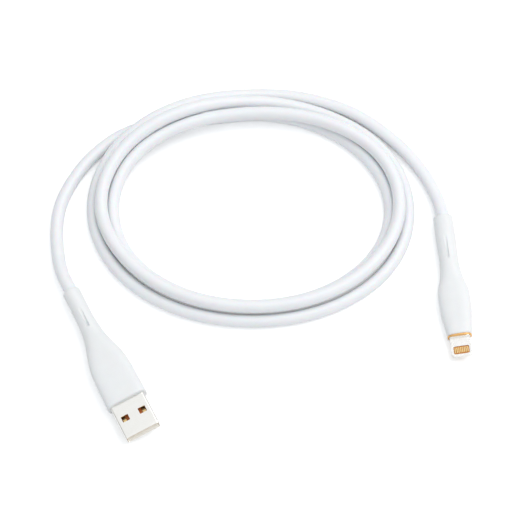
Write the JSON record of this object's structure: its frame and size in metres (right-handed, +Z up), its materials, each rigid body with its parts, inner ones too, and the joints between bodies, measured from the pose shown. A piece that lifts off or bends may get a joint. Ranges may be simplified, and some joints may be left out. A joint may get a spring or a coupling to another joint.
{
  "type": "charging cable",
  "caption": "Coiled white charging cable with a flat four-contact computer plug at one end and a small eight-contact phone plug at the other.",
  "frame": {"origin": "on the surface that the cable lies on, under the middle of the box round its two plugs", "axes": "+X from the computer plug's side to the phone plug's side, +Y from the plug tips towards the coil, +Z up"},
  "size_m": [0.1429, 0.1356, 0.0122],
  "materials": {
    "cover_white": "satin white moulded cover",
    "cable_white": "smooth cool-white cable jacket",
    "steel": "bright nickel-plated steel",
    "gold_trim": "satin gold-orange trim",
    "gold_plate": "gold-plated contact",
    "orange_plastic": "orange moulded plastic",
    "amber_plastic": "amber moulded plastic",
    "board_green": "green circuit board",
    "chip_black": "black chip body",
    "wire_red": "red wire insulation",
    "wire_white": "white wire insulation",
    "wire_green": "green wire insulation",
    "wire_black": "black wire insulation"
  },
  "bodies": {
    "root": {"usb_cover": "cover_white", "usb_shell": "steel", "usb_insert": "orange_plastic", "usb_contact_1": "gold_plate", "usb_contact_2": "gold_plate", "usb_contact_3": "gold_plate", "usb_contact_4": "gold_plate", "usb_rear_can": "steel", "usb_crimp_barrel": "steel", "usb_jacket_end": "cable_white", "usb_wire_red": "wire_red", "usb_wire_white": "wire_white", "usb_wire_green": "wire_green", "usb_wire_black": "wire_black", "phone_cover": "cover_white", "phone_trim_ring": "gold_trim", "phone_tab": "steel", "phone_contact_carrier": "amber_plastic", "phone_contact_top_1": "gold_plate", "phone_contact_top_2": "gold_plate", "phone_contact_top_3": "gold_plate", "phone_contact_top_4": "gold_plate", "phone_contact_top_5": "gold_plate", "phone_contact_top_6": "gold_plate", "phone_contact_top_7": "gold_plate", "phone_contact_top_8": "gold_plate", "phone_contact_bottom_1": "gold_plate", "phone_contact_bottom_2": "gold_plate", "phone_contact_bottom_3": "gold_plate", "phone_contact_bottom_4": "gold_plate", "phone_contact_bottom_5": "gold_plate", "phone_contact_bottom_6": "gold_plate", "phone_contact_bottom_7": "gold_plate", "phone_contact_bottom_8": "gold_plate", "phone_can": "steel", "phone_board": "board_green", "phone_chip": "chip_black", "phone_jacket_end": "cable_white", "phone_wire_red": "wire_red", "phone_wire_white": "wire_white", "phone_wire_green": "wire_green", "phone_wire_black": "wire_black", "cable_usb_tail": "cable_white", "cable_coil": "cable_white", "cable_phone_tail": "cable_white"}
  },
  "joints": []
}
